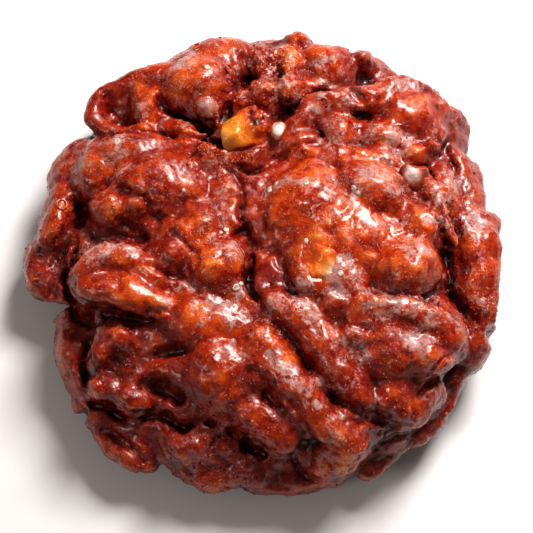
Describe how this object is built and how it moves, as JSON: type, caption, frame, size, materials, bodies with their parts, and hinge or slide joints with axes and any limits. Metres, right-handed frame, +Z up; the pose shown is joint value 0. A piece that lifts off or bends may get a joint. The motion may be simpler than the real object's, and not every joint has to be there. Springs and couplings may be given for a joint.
{
  "type": "apple fritter",
  "caption": "Round, craggy glazed fritter of fried dough, with folds and dark crevices on top and diced apple showing, lying flat on its underside.",
  "frame": {"origin": "middle of the box round the fritter, on the surface that it lies on", "axes": "+Z up, -Y towards the lower edge of the picture, +X to its right"},
  "size_m": [0.1218, 0.12, 0.0412],
  "materials": {
    "dough": "glazed dark red-brown fried crust",
    "apple_amber": "glossy amber cooked fruit",
    "apple_pale": "glossy pale translucent cooked fruit"
  },
  "bodies": {
    "root": {"dough": "dough", "apple_amber": "apple_amber", "apple_bit": "apple_pale", "apple_pale": "apple_pale", "apple_crown": "apple_amber"}
  },
  "joints": []
}
